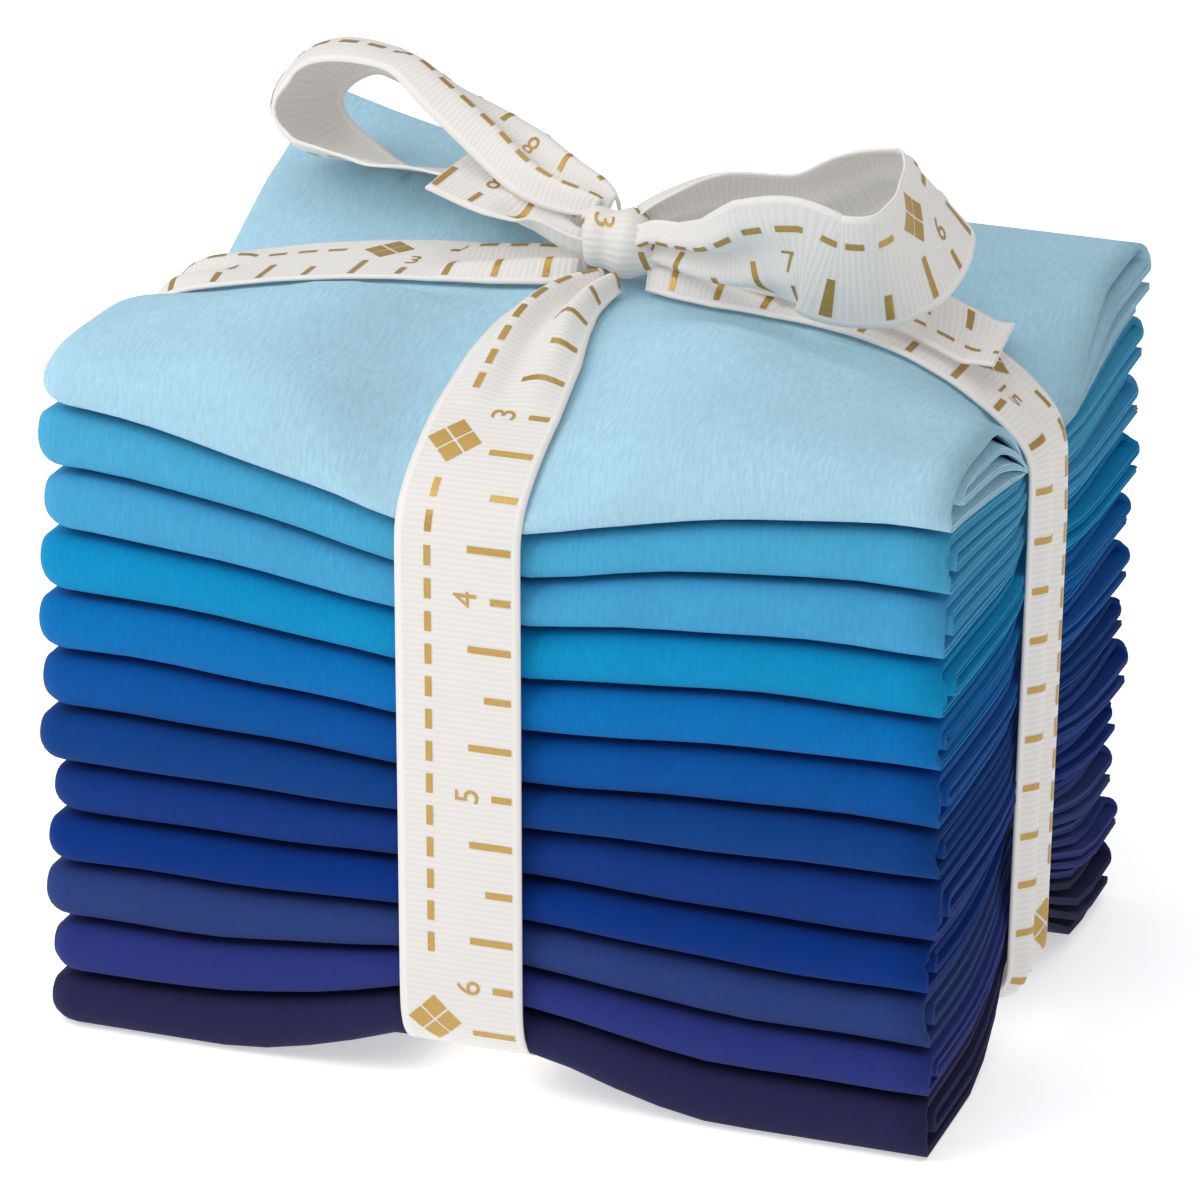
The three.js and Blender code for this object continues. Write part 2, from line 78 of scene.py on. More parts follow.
# %% [markdown]
# ## Node trees from short calls
# Every finish below is a node tree, and so is the ribbon's print. `Nodes` adds a node and feeds its inputs
# in one call. Sums are easier to read when they look like sums, so `Value` wraps one socket, and
# `1 - mask` or `a * b` adds the Math node by itself.


# %% Add and feed nodes
def feed(tree, socket, value):
    """Links a socket or a Value, and writes anything else in as a constant."""
    value = getattr(value, "socket", value)
    if isinstance(value, bpy.types.NodeSocket):
        tree.links.new(value, socket)
    else:
        socket.default_value = value


class Nodes:
    """A node tree that grows by short calls."""

    def __init__(self, tree):
        self.tree = tree

    def add(self, kind, inputs=(), **settings):
        """inputs are listed in order or named. A list in the place of one value joins all that it holds."""
        made = self.tree.nodes.new(kind)
        for key, setting in settings.items():
            setattr(made, key, setting)
        pairs = inputs.items() if isinstance(inputs, dict) else enumerate(inputs)
        for key, value in pairs:
            for one in value if isinstance(value, list) else [value]:
                feed(self.tree, made.inputs[key], one)
        return made

    def node(self, kind, inputs=(), output=0, **settings):
        return Value(self, self.add(kind, inputs, **settings).outputs[output])

    def maths(self, operation, *values):
        return self.node("ShaderNodeMath", values, operation=operation)

    def vector_maths(self, operation, *values):
        return self.node("ShaderNodeVectorMath", values, operation=operation)


# %% Wrap a socket
class Value:
    """A number that comes out of a socket, for use in sums."""

    def __init__(self, nodes, socket):
        self.nodes = nodes
        self.socket = socket

    def maths(self, operation, *others):
        return self.nodes.maths(operation, self, *others)

    def __add__(self, other):
        return self.maths("ADD", other)

    def __sub__(self, other):
        return self.maths("SUBTRACT", other)

    def __mul__(self, other):
        return self.maths("MULTIPLY", other)

    def __truediv__(self, other):
        return self.maths("DIVIDE", other)

    def __rsub__(self, other):
        return self.nodes.maths("SUBTRACT", other, self)

    __radd__ = __add__
    __rmul__ = __mul__

    def wave(self, length):
        """A sine wave from 0 to 1 with this wavelength."""
        return (self * (2 * math.pi / length)).maths("SINE") * 0.5 + 0.5


# %% Build a finish
class Finish(Nodes):
    """A material and the nodes that make its colour, roughness and bump."""

    def __init__(self, name):
        self.material = bpy.data.materials.new(name)
        self.material.use_nodes = True
        super().__init__(self.material.node_tree)
        self.surface = next(n for n in self.tree.nodes if n.type == "BSDF_PRINCIPLED")

    def place(self, uv):
        """The place on the piece's own flat map, then its parts along and across."""
        flat = self.node("ShaderNodeUVMap", uv_map=uv)
        along, across = self.add("ShaderNodeSeparateXYZ", [flat]).outputs[:2]
        return flat, Value(self, along), Value(self, across)

    def noise(self, vector, scale, detail=2.0):
        return self.node("ShaderNodeTexNoise", {"Vector": vector, "Scale": scale, "Detail": detail})

    def blend(self, factor, first, second):
        inputs = {0: factor, 6: first, 7: second}
        return self.node("ShaderNodeMix", inputs, output=2, data_type="RGBA", blend_type="MIX")

    def bump(self, height, strength, distance, under=None):
        values = {"Height": height, "Strength": strength, "Distance": distance}
        if under is not None:
            values["Normal"] = under
        return self.node("ShaderNodeBump", values)

    def set(self, **values):
        for key, value in values.items():
            feed(self.tree, self.surface.inputs[key.replace("_", " ")], value)


print("finishes are ready to be mixed")

# %% [markdown]
# ## Cotton
# Quilting cotton is a plain weave: one thread over, one under, about 0.4 mm apart. Close up, the cloth
# has slubs, thin streaks and a faint mottling, and its surface is matt with a little fuzz that lights up
# at grazing angles. The weave follows the cloth through its folds, so it is drawn on the piece's own flat
# map, which is in millimetres.


# %% Mix the cotton
THREAD = 0.42
FUZZ = 0.05
STREAK_STRETCH = (0.5, 2.4, 1.0)


def rgb(hex_colour):
    """A screen colour as the linear numbers that a shader wants."""
    parts = [((hex_colour >> shift) & 255) / 255 for shift in (16, 8, 0)]
    return tuple(p / 12.92 if p <= 0.04045 else ((p + 0.055) / 1.055) ** 2.4 for p in parts) + (1.0,)


def scaled(colour, factor):
    return tuple(min(c * factor, 1.0) for c in colour[:3]) + (1.0,)


def cotton(name, colour):
    finish = Finish(name)
    flat, along, across = finish.place("cloth")
    warp = along.wave(THREAD)
    weft = across.wave(THREAD)
    weave = warp * weft + (1 - warp) * (1 - weft)
    slub = finish.noise(flat, 0.9, 3.0)
    mottle = finish.noise(flat, 0.12, 3.0)
    streak = finish.noise(finish.vector_maths("MULTIPLY", flat, STREAK_STRETCH), 1.0)
    tone = finish.blend(mottle, scaled(colour, 0.9), scaled(colour, 1.26))
    uneven = weave * 0.25 + slub * 0.25 + (streak - 0.35) * 0.95
    fine = finish.bump(weave, 0.35, 0.00004)
    finish.set(
        Base_Color=finish.blend(uneven, scaled(colour, 0.76), tone),
        Roughness=slub * 0.12 + 0.8,
        Normal=finish.bump(slub, 0.25, 0.00012, fine),
        Sheen_Weight=FUZZ,
        Sheen_Roughness=0.5,
        Specular_IOR_Level=0.1,
    )
    return finish.material


# %% [markdown]
# ## Ribbon and foil
# The ribbon is ribbed across its width, with a smooth bright edge on each side. Its colour is a little
# darker in the grooves between the ribs, which is painted shade. It also glows faintly: painted light that
# lifts its shaded loops and stands for the light that the thin ribbon lets through. Its print is gold foil.
# The ribbon's flat map is in inches, with the printed side between 0 and its width, and the plain side one
# inch further.


# %% Mix the ribbon and the foil
INCH = 25.4
RIB = 0.78 / INCH
RIBBON_INCHES = 0.625
SELVEDGE = 0.036
PAINTED_GLOW = 0.14


def ribbed(name, colour):
    finish = Finish(name)
    flat, along, across = finish.place("ribbon")
    side = (across - across.maths("FLOOR")).maths("MINIMUM", RIBBON_INCHES)
    half = RIBBON_INCHES / 2
    edge = (side - half).maths("ABSOLUTE").maths("GREATER_THAN", half - SELVEDGE)
    ribs = along.wave(RIB)
    speck = finish.noise(flat, 45.0)
    # painted shade: the colour darkens in the grooves between the ribs, and the speck adds a random tone
    painted_rib_shade_and_speck = finish.blend(ribs * 0.75 + speck * 0.25, scaled(colour, 0.9), colour)
    height = ribs * (1 - edge) + edge * 0.9
    finish.set(
        Base_Color=finish.blend(edge, painted_rib_shade_and_speck, scaled(colour, 1.03)),
        Roughness=speck * 0.15 + 0.5,
        Normal=finish.bump(height, 0.4, 0.00012),
        Sheen_Weight=0.2,
        # painted light: a faint white glow that lifts the ribbon's shaded parts
        Emission_Color=(1.0, 0.98, 0.95, 1.0),
        Emission_Strength=PAINTED_GLOW,
        Specular_IOR_Level=0.4,
    )
    return finish.material


def foil(name, colour):
    finish = Finish(name)
    flat = finish.place("ribbon")[0]
    speck = finish.noise(flat, 60.0, 3.0)
    finish.set(
        Base_Color=finish.blend(speck, scaled(colour, 0.75), scaled(colour, 1.15)),
        Metallic=0.55,
        Roughness=speck * 0.2 + 0.35,
        Normal=finish.bump(speck, 0.3, 0.00006),
    )
    return finish.material


RIBBON_WHITE = ribbed("white ribbed ribbon", rgb(0xD2CECA))
GOLD_FOIL = foil("gold foil print", rgb(0xBE9A52))
print("mixed", RIBBON_WHITE.name, "and", GOLD_FOIL.name)

# %% [markdown]
# ## The stack's sizes
# These are the sizes that the solids were built with, in millimetres. The ribbon pulls the stack in, so
# every seam between two cloths dips near it. A few short formulas say how far. The part's origin is the
# middle of its box, so MIDDLE is taken off every point at the end.
#
# - A folded cloth has four layers with a little air between them. Its round edges reach in by NOSE at the
#   front, by BACK_NOSE at the back and by TIGHT inside a fold, and EYE is the hollow behind the front.
# - The ribbon crosses at TIE. It is flat for FLAT on each side, and its pull reaches REACH_X and REACH_Y,
#   the lowest cloth's value first. In the middle of the stack only MID_PULL of it is left.
# - The lowest cloth is TIE_FLOOR off the table under the tie, and END_RISE more under the ends.

# %% Name the sizes
HALF_WIDTH = 57.2
HALF_DEPTH = 44.0
MIDDLE = np.array([-1.1, 0.86, 0.0])
LAYER = 1.48
LAYER_SHARE = 0.205
LAYER_AIR = 0.4
PIECE_AIR = 0.36
NOSE = {"low": 2.6, "high": 2.6, "share": 0.5}
PILLOW_NOSE = {"low": 2.5, "high": 10.0, "share": 0.35}
EYE = 1.9
BACK_NOSE = 1.6
TIGHT = 0.3
TIE = {"x": -2.8, "y": 2.0}
FLAT = 9.5
REACH_X = (32, 56)
REACH_Y = (26, 44)
MID_PULL = (0.5, 0.2)
TIE_FLOOR = 6.0
END_RISE = 2.5

# thickness at the left, under the ribbon and at the right, and how far the four edges stand out
COLUMNS = ("name", "colour", "left", "tie", "right", "front", "back", "west", "east")
CLOTHS = [
    dict(zip(COLUMNS, row))
    for row in (
        ("navy", 0x26264E, 7.1, 6.2, 8.4, 0.0, -2.6, 2.4, -0.9),
        ("indigo", 0x29347C, 7.4, 5.2, 6.0, 0.3, -1.8, 1.7, -0.5),
        ("slate", 0x293E7B, 7.7, 5.9, 7.2, -0.2, -1.2, 2.6, -1.2),
        ("royal", 0x003180, 6.7, 6.0, 6.6, 0.2, -1.9, 2.0, -1.1),
        ("cobalt", 0x0E3682, 6.6, 6.3, 8.4, -0.3, -1.6, 1.0, 0.0),
        ("denim", 0x053E86, 7.5, 5.8, 6.4, 0.4, -2.9, 2.6, -0.4),
        ("azure", 0x00529F, 7.7, 6.7, 7.4, 0.0, -1.4, 2.0, -0.3),
        ("cerulean", 0x0070B9, 7.9, 6.8, 6.6, 0.3, -1.5, 2.1, -0.3),
        ("turquoise", 0x048FC6, 7.9, 6.9, 7.6, 0.1, 0.2, 1.8, 0.2),
        ("sky", 0x45A2D2, 8.1, 6.0, 8.2, 0.4, 0.0, 0.8, -0.3),
        ("aqua", 0x49A8D1, 8.2, 5.6, 7.5, 0.2, 1.4, 1.4, 0.3),
        ("ice", 0xABD4E8, 8.5, 7.0, 7.0, 0.5, 2.2, 0.3, 0.4),
    )
]
TOP = len(CLOTHS) - 1
PILLOW = {
    "front": (90.5, 87.5),
    "back": (91.0, 89.5),
    "crown": 7.0,
    "lift": 9.0,
    "valley": 27.0,
    "middle": 90.6,
    "cross_lift": 0.8,
    "front_drop": 13.0,
    "left_drop": 6.5,
    "right_drop": 15.5,
}
print(len(CLOTHS), "cloths, from", CLOTHS[0]["name"], "to", CLOTHS[-1]["name"])


# %% Height of the seams
def lerp(a, b, t):
    return a + (b - a) * t


def pull(distance, reach):
    """1 under the ribbon and 0 out of its reach."""
    run = np.clip((np.abs(distance) - FLAT) / (reach - FLAT), 0, 1)
    return (1 - run) ** 1.5


def edge_share(t, least):
    """The ribbon pulls hardest at the stack's edges."""
    return least + (1 - least) * np.minimum(t * t, 1)


def stack_height(k, column):
    return sum(cloth[column] for cloth in CLOTHS[:k])


def ripple(k, x, y):
    """Small unevenness that two neighbours share, because they lie on each other."""
    a = np.sin(x * 0.11 + k * 2.1) * np.cos(y * 0.09 + k * 1.3)
    b = np.sin(x * 0.26 + y * 0.17 + k * 4.7)
    return 0.16 * a + 0.1 * b


def seam(k, x, y):
    """Height of the face under cloth number k."""
    share = k / len(CLOTHS)
    across = (x + HALF_WIDTH) / (2 * HALF_WIDTH)
    corner = lerp(stack_height(k, "left"), stack_height(k, "right"), across)
    least = lerp(*MID_PULL, share)
    along = edge_share(y / HALF_DEPTH, least) * pull(x - TIE["x"], lerp(*REACH_X, share))
    cross = edge_share(x / HALF_WIDTH, least) * pull(y - TIE["y"], lerp(*REACH_Y, share))
    total = along + cross
    tie = TIE_FLOOR + stack_height(k, "tie") + END_RISE * cross / np.maximum(total, 1e-9)
    height = corner + (total - along * cross) * (tie - corner)
    return height + (ripple(k, x, y) if k > 0 else 0)


# %% [markdown]
# ## The pillow on top
# The top cloth is loose, so it puffs up between the ribbons, lifts at its back left corner and wrinkles
# where the ribbon gathers it. Each wrinkle is a soft ridge or trough along a line, with its own size.

# %% Shape the pillow
# start and end in plan, height (a trough's is below 0) and half width
WRINKLES = [
    ((-9, -9), (-46, -31), 1.6, 4.5),
    ((-8, -14), (-30, -38), -1.4, 3.2),
    ((-12, -5), (-50, -16), -1.2, 3.5),
    ((7, -10), (34, -30), 1.4, 5.5),
    ((5, -14), (16, -37), -1.1, 3.0),
    ((-13, 9), (-44, 32), 1.6, 5.0),
    ((-8, 13), (-22, 40), -1.2, 3.5),
    ((9, 12), (40, 30), 1.4, 5.0),
    ((20, 9), (52, 15), -1.1, 3.0),
    ((18, -8), (50, -18), -1.2, 3.0),
]


def wrinkle(x, y, start, end, height, width):
    start, end = np.array(start, float), np.array(end, float)
    run = end - start
    share = ((x - start[0]) * run[0] + (y - start[1]) * run[1]) / (run @ run)
    nearest = np.clip(share, 0, 1)
    away = np.hypot(x - start[0] - nearest * run[0], y - start[1] - nearest * run[1])
    fade = np.sin(np.pi * np.clip(nearest * 0.85 + 0.12, 0, 1)) ** 0.7
    return height * fade * np.exp(-((away / width) ** 2))


def pillow(x, y):
    """Height of the top cloth's upper face."""
    u = np.clip((x + HALF_WIDTH) / (2 * HALF_WIDTH), 0, 1)
    v = np.clip((y + HALF_DEPTH) / (2 * HALF_DEPTH), 0, 1)
    s = np.clip(x / HALF_WIDTH, -1, 1)
    t = np.clip(y / HALF_DEPTH, -1, 1)
    front, back = lerp(*PILLOW["front"], u), lerp(*PILLOW["back"], u)
    lifted = np.where((s < 0) & (t > 0), PILLOW["lift"] * s * s * t**3, 0)
    lobe = lerp(front, back, v) + PILLOW["crown"] * (1 - s * s) * (1 - t * t) + lifted
    along = pull(x - TIE["x"], PILLOW["valley"])
    cross = pull(y - TIE["y"], PILLOW["valley"])
    total = along + cross
    left_drop = PILLOW["left_drop"] * np.maximum(-s, 0) ** 2.5
    right_drop = PILLOW["right_drop"] * np.maximum(s, 0) ** 4.5
    along_height = PILLOW["middle"] - PILLOW["front_drop"] * t * t
    cross_height = PILLOW["middle"] + PILLOW["cross_lift"] - left_drop - right_drop
    valley = (along * along_height + cross * cross_height) / np.maximum(total, 1e-9)
    height = lobe + (total - along * cross) * (valley - lobe)
    free = np.clip(3 * (1 - np.maximum(along, cross)), 0, 1)
    return height + free * sum(wrinkle(x, y, *row) for row in WRINKLES)


def faces(k, x, y):
    """Lower and upper face of cloth number k."""
    low = seam(k, x, y) + (0 if k == 0 else PIECE_AIR / 2)
    high = pillow(x, y) if k == TOP else seam(k + 1, x, y) - PIECE_AIR / 2
    return low, high


print("the pillow's crown is", round(float(pillow(-30.0, -20.0)), 1), "mm above the table")

# %% [markdown]
# ## A fat quarter, folded
# Each cloth is 457 by 559 mm, folded into twenty-four plies. Six plies lie together, and the six go back
# and forth four times, with a soft fold at the front. One long strip that doubles back on itself at both
# ends shows the same edges at the right end as the real one. The two outlines of a layer are known, and
# each ply lies at its own share of the way between them.

# %% Lay out the plies
PLIES = 6
PLY = 0.14
PACKED = 0.7
LEVELS = np.array([i * (LAYER + LAYER_AIR) + step for i in range(4) for step in (0, LAYER)])
PRESSED_STOPS = (-37, -34, -30, -24, -18, -12, -6, 2, 10, 17, 24, 31, 37)
LOOSE_STOPS = (-31.5, *range(-29, 39, 3))
FRONT_STEPS, EYE_STEPS, BACK_STEPS = 12, 8, 8


def turn(facing, nose, from_level, to_level, low_run, high_run, steps, share=0.5):
    """A rounded turn between two levels. facing is -1 at the front and 1 at the back."""
    bottom, top = min(from_level, to_level), max(from_level, to_level)
    middle = lerp(bottom, top, share)
    rise = np.linspace(0, 1, steps + 1)
    rise = rise if to_level > from_level else 1 - rise
    angle = np.pi * (rise - 0.5)
    reach = np.where(angle < 0, low_run, high_run)
    half = np.where(angle < 0, middle - bottom, top - middle)
    return np.stack([nose - facing * reach * (1 - np.cos(angle)), middle + half * np.sin(angle)], axis=1)


def front_edge(k):
    return -(HALF_DEPTH + CLOTHS[k]["front"])


def front_turn(k):
    """The round front edge of a cloth, from its lower face to its upper one."""
    nose = PILLOW_NOSE if k == TOP else NOSE
    runs = (nose["low"], nose["high"], FRONT_STEPS, nose["share"])
    return turn(-1, front_edge(k), LEVELS[0], LEVELS[-1], *runs)


def layer_outlines(k):
    """The outer and the inner outline of the folded strip, point for point, in (y, level)."""
    loose = k == TOP
    nose = PILLOW_NOSE if loose else NOSE
    low, high, share = nose["low"], nose["high"], nose["share"]
    front, back = front_edge(k), HALF_DEPTH + CLOTHS[k]["back"]
    inner = front + LAYER + (2 * EYE if loose else EYE)
    inner_high = high * 0.8 if loose else LAYER
    bottom_end = back - 1 - (k % 3) * 0.8
    second_end = back - 2.6 + (k % 2) * 1.2
    b = LEVELS

    def run(level, direction):
        """A flat stretch, whose first stop depends on the turn that it meets at the front."""
        if loose:
            stops = ((-38.0, -35.0) if level < b[2] else ()) + LOOSE_STOPS
        else:
            stops = (-37.8 if b[2] <= level <= b[5] else -39,) + PRESSED_STOPS
        return [(y, level) for y in stops[::direction]]

    outer = [
        [[bottom_end, b[0]]],
        run(b[0], -1),
        front_turn(k),
        run(b[7], 1),
        turn(1, back, b[7], b[4], BACK_NOSE, BACK_NOSE, BACK_STEPS),
        run(b[4], -1),
        turn(-1, inner + LAYER, b[4], b[3], TIGHT, TIGHT, EYE_STEPS, share),
        run(b[3], 1),
        [[second_end, b[3]]],
    ]
    inside = [
        [[bottom_end, b[1]]],
        run(b[1], -1),
        turn(-1, front + LAYER, b[1], b[6], low - LAYER, high - LAYER, FRONT_STEPS, share),
        run(b[6], 1),
        turn(1, back - LAYER, b[6], b[5], TIGHT, TIGHT, BACK_STEPS),
        run(b[5], -1),
        turn(-1, inner, b[5], b[2], LAYER, inner_high, EYE_STEPS, share),
        run(b[2], 1),
        [[second_end, b[2]]],
    ]
    return np.concatenate(outer), np.concatenate(inside)


def settle(level, low, high):
    """The height of a nominal level between the two faces. Spare height becomes air."""
    layer = np.minimum(LAYER, LAYER_SHARE * (high - low))
    air = (high - low - 4 * layer) / 3
    index = np.clip(np.searchsorted(LEVELS, level - 1e-6), 1, 7)
    part = (level - LEVELS[index - 1]) / (LEVELS[index] - LEVELS[index - 1])
    layers = lerp(index // 2, (index + 1) // 2, part)
    airs = lerp((index - 1) // 2, index // 2, part)
    return low + layers * layer + airs * air


print("one ply's path has", len(layer_outlines(0)[0]), "points")

# %% [markdown]
# ## From path to cloth
# The strip's path is swept along the stack's width. At the left end the plies close into soft rounded
# folds, at the right end they stop at their own slightly uneven cut, with rounded corners at the back,
# and the ribbon presses them in. A flat map keeps the weave square.


# %% Sweep the plies
def new_piece(name, points, quads, flat, uv):
    """A smooth mesh of quads, in millimetres. flat has each corner's place on the flat map."""
    mesh = bpy.data.meshes.new(name)
    mesh.vertices.add(len(points))
    mesh.vertices.foreach_set("co", (np.asarray(points, float) * 0.001).astype(np.float32).ravel())
    quads = np.asarray(quads, np.int32)
    mesh.loops.add(quads.size)
    mesh.loops.foreach_set("vertex_index", quads.ravel())
    mesh.polygons.add(len(quads))
    mesh.polygons.foreach_set("loop_start", np.arange(0, quads.size, 4, dtype=np.int32))
    mesh.update(calc_edges=True)
    layer = mesh.uv_layers.new(name=uv)
    layer.data.foreach_set("uv", np.asarray(flat, np.float32).ravel())
    mesh.polygons.foreach_set("use_smooth", np.ones(len(quads), bool))
    mesh.validate()
    return add_object(name, mesh)


def length_along(line):
    """The distance from a line's start to each of its points."""
    return np.concatenate([[0], np.cumsum(np.linalg.norm(np.diff(line, axis=0), axis=1))])


def grid_quads(rows, columns):
    index = np.arange(rows * columns).reshape(rows, columns)
    corners = [index[:-1, :-1], index[1:, :-1], index[1:, 1:], index[:-1, 1:]]
    return np.stack([c.ravel() for c in corners], axis=1)


SOFT_LENGTH = 3.8
SOFT_STATIONS = (0.0, 0.25, 0.7, 1.4, 2.4, SOFT_LENGTH)
STATIONS = {"pressed": 26, "loose": 34}
RAGGED = {"ply": 0.12, "layer": 0.35, "fold": 0.5}
BACK_CORNER = ([-30, 10, 38], [0.2, 0.5, 1.5])
PRESS = {"depth": 2.3, "reach": 10}


def width_stations(k):
    """Stations across the width, closer together at the soft left end."""
    west = -(HALF_WIDTH + CLOTHS[k]["west"])
    east = HALF_WIDTH + CLOTHS[k]["east"]
    count = STATIONS["loose" if k == TOP else "pressed"] - len(SOFT_STATIONS)
    return np.concatenate([west + np.array(SOFT_STATIONS), np.linspace(west + 6.5, east, count)])


def cut_end(rng, ply, y, level):
    """How far each point of the path stands out at the right end."""
    layer = np.clip(level / (LAYER + LAYER_AIR), 0, 3).astype(int)
    by_ply = np.abs(rng.normal(0, RAGGED["ply"], PLIES))[ply]
    by_layer = np.abs(rng.normal(0, RAGGED["layer"], 4))[layer]
    corner = np.interp(y, *BACK_CORNER) * (2 * level / LEVELS[-1] - 1) ** 2
    pressed = PRESS["depth"] * np.exp(-(((y - TIE["y"]) / PRESS["reach"]) ** 2))
    return 0.1 - by_ply - by_layer - corner - pressed


def folded_cloth(k):
    cloth = CLOTHS[k]
    rng = np.random.default_rng(100 + k)
    stations = width_stations(k)
    west, east = stations[0], stations[-1]
    outer, inside = layer_outlines(k)
    there, back = np.arange(len(outer)), np.arange(len(outer))[::-1]
    order = np.concatenate([back if i % 2 else there for i in range(PLIES)])
    ply = np.repeat(np.arange(PLIES), len(outer))
    outer, inside = outer[order], inside[order]
    place = ((ply + 0.5) / PLIES - 0.5) * PACKED
    cut = cut_end(rng, ply, *outer.T)
    fold = rng.uniform(0, RAGGED["fold"], PLIES)[ply]
    sheet = np.zeros((len(ply), len(stations), 3))
    for j, x in enumerate(stations):
        soft = np.clip((x - west) / SOFT_LENGTH, 0, 1)
        opened = math.sqrt(1 - (1 - soft) ** 2)
        share = 0.5 + place * lerp(0.25, 1.0, opened)
        y = lerp(outer[:, 0], inside[:, 0], share)
        level = lerp(outer[:, 1], inside[:, 1], share)
        slide = (1 - soft) * fold + np.clip((x - east) / 8 + 1, 0, 1) * cut
        low, high = faces(k, np.full(len(y), x), y)
        z = lerp((low + high) / 2, settle(level, low, high), lerp(0.62, 1.0, opened))
        y = y * (1 - lerp(2.0, 0.0, opened) / HALF_DEPTH)
        sheet[:, j] = np.stack([x + slide, y, z], axis=1)
    points = (sheet - MIDDLE).reshape(-1, 3)
    quads = grid_quads(len(ply), len(stations))
    along = length_along(sheet[:, 10])
    flat = np.stack(np.meshgrid(along, stations, indexing="ij"), axis=-1).reshape(-1, 2)[quads]
    piece = new_piece(f"fat_quarter_{k + 1:02d}_{cloth['name']}", points, quads, flat, "cloth")
    thickness = piece.modifiers.new("ply", "SOLIDIFY")
    thickness.thickness = PLY * 0.001
    thickness.offset = 0
    piece.data.materials.append(cotton(f"{cloth['name']} cotton", rgb(cloth["colour"])))
    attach(piece, "root")
    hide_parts(f"cloth_{k + 1:02d}_{cloth['name']}")
    return piece


cloth_pieces = [folded_cloth(k) for k in range(len(CLOTHS))]
print("folded", len(cloth_pieces), "cloths of", len(cloth_pieces[0].data.polygons), "faces each")

# %% [markdown]
# ## The ribbon as a strip
# A ribbon can only bend and gather: it never stretches. So a strip is a line of rows. Each row has a
# middle point, the direction of its width, and the width that is left once it is curled or gathered.
# Where it is gathered, pleats take up what the width loses.

# %% Bend a strip
RIBBON_WIDTH = 15.9
RIBBON_THICKNESS = 0.38


def catmull(rows, t):
    """A smooth curve through the rows, at places t from 0 to the last row's number."""
    rows = np.asarray(rows, float)
    padded = np.concatenate([[2 * rows[0] - rows[1]], rows, [2 * rows[-1] - rows[-2]]])
    i = np.clip(t.astype(int), 0, len(rows) - 2)
    f = (t - i)[:, None]
    a, b, c, d = (padded[i + n] for n in range(4))
    return 0.5 * (2 * b + (c - a) * f + (2 * a - 5 * b + 4 * c - d) * f**2 + (3 * b - a - 3 * c + d) * f**3)


def unit(vectors):
    return vectors / np.linalg.norm(vectors, axis=-1, keepdims=True)


def strip_surface(at, across, width, curl, lanes, pleats=2):
    """A strip's middle surface as a grid of rows by lanes, curled, and pleated where it is narrow."""
    tangent = unit(np.gradient(at, axis=0))
    normal = unit(np.cross(tangent, across))
    side = unit(np.cross(normal, tangent))
    v = np.linspace(-0.5, 0.5, lanes + 1)[None, :]
    width, curl = width[:, None], np.radians(np.maximum(curl, 1.0))[:, None]
    radius = width / curl
    fold = width / (np.pi * pleats) * np.sqrt(np.maximum(RIBBON_WIDTH / width - 1, 0))
    gather = fold * (1 - np.cos(2 * np.pi * pleats * (v + 0.5)))
    rise = radius * (np.cos(v * curl) - np.cos(curl / 2)) + gather
    out = radius * np.sin(v * curl)
    return at[:, None] + side[:, None] * out[..., None] + normal[:, None] * rise[..., None]


def grid_normals(surface):
    return unit(np.cross(np.gradient(surface, axis=0), np.gradient(surface, axis=1)))


def rim(line, flat, count):
    """Quads that close one edge, and their places on the map, which lie beyond both sides."""
    quads = np.stack([line[:-1], line[1:], line[1:] + count, line[:-1] + count], axis=1)
    far = length_along(flat[line])
    corners = [(far[:-1], 2.0), (far[1:], 2.0), (far[1:], 2.02), (far[:-1], 2.02)]
    return quads, np.stack([np.stack([u, np.full(len(u), v)], axis=1) for u, v in corners], axis=1)


def strip_piece(name, surface, printed=1):
    """A thin closed strip. printed is 1 or -1, for the side that gets the print."""
    rows, lanes = surface.shape[:2]
    count = rows * lanes
    normal = grid_normals(surface) * RIBBON_THICKNESS / 2 * printed
    points = np.concatenate([(surface + normal).reshape(-1, 3), (surface - normal).reshape(-1, 3)])
    steps = np.linalg.norm(np.diff(surface, axis=0), axis=2).mean(axis=1)
    along = np.concatenate([[0], np.cumsum(steps)]) / INCH
    across = np.linspace(0, RIBBON_INCHES, lanes)[::printed]
    flat = np.stack(np.meshgrid(along, across, indexing="ij"), axis=-1).reshape(-1, 2)
    flat = np.concatenate([flat, flat + [0, 1]])
    face = grid_quads(rows, lanes)
    back = face[:, ::-1] + count
    index = np.arange(count).reshape(rows, lanes)
    edges = (index[0], index[-1, ::-1], index[::-1, 0], index[:, -1])
    sides = [(face, flat[face]), (back, flat[back])] + [rim(line, flat, count) for line in edges]
    quads, maps = (np.concatenate(parts)[:, ::printed] for parts in zip(*sides))
    piece = new_piece(name, points - MIDDLE, quads, maps, "ribbon")
    piece.data.materials.append(RIBBON_WHITE)
    piece["inches"] = float(along[-1])
    return piece


print("a strip of", RIBBON_WIDTH, "mm, half an inch and an eighth wide")

# %% [markdown]
# ## The gold ruler
# The print is foil: flat shapes with next to no thickness. Geometry Nodes draw it flat, in inches, as
# repeated marks on a line, and then wrap it onto the ribbon by looking up each flat place on the
# ribbon's own map. So the same tree prints every stretch of the ribbon.


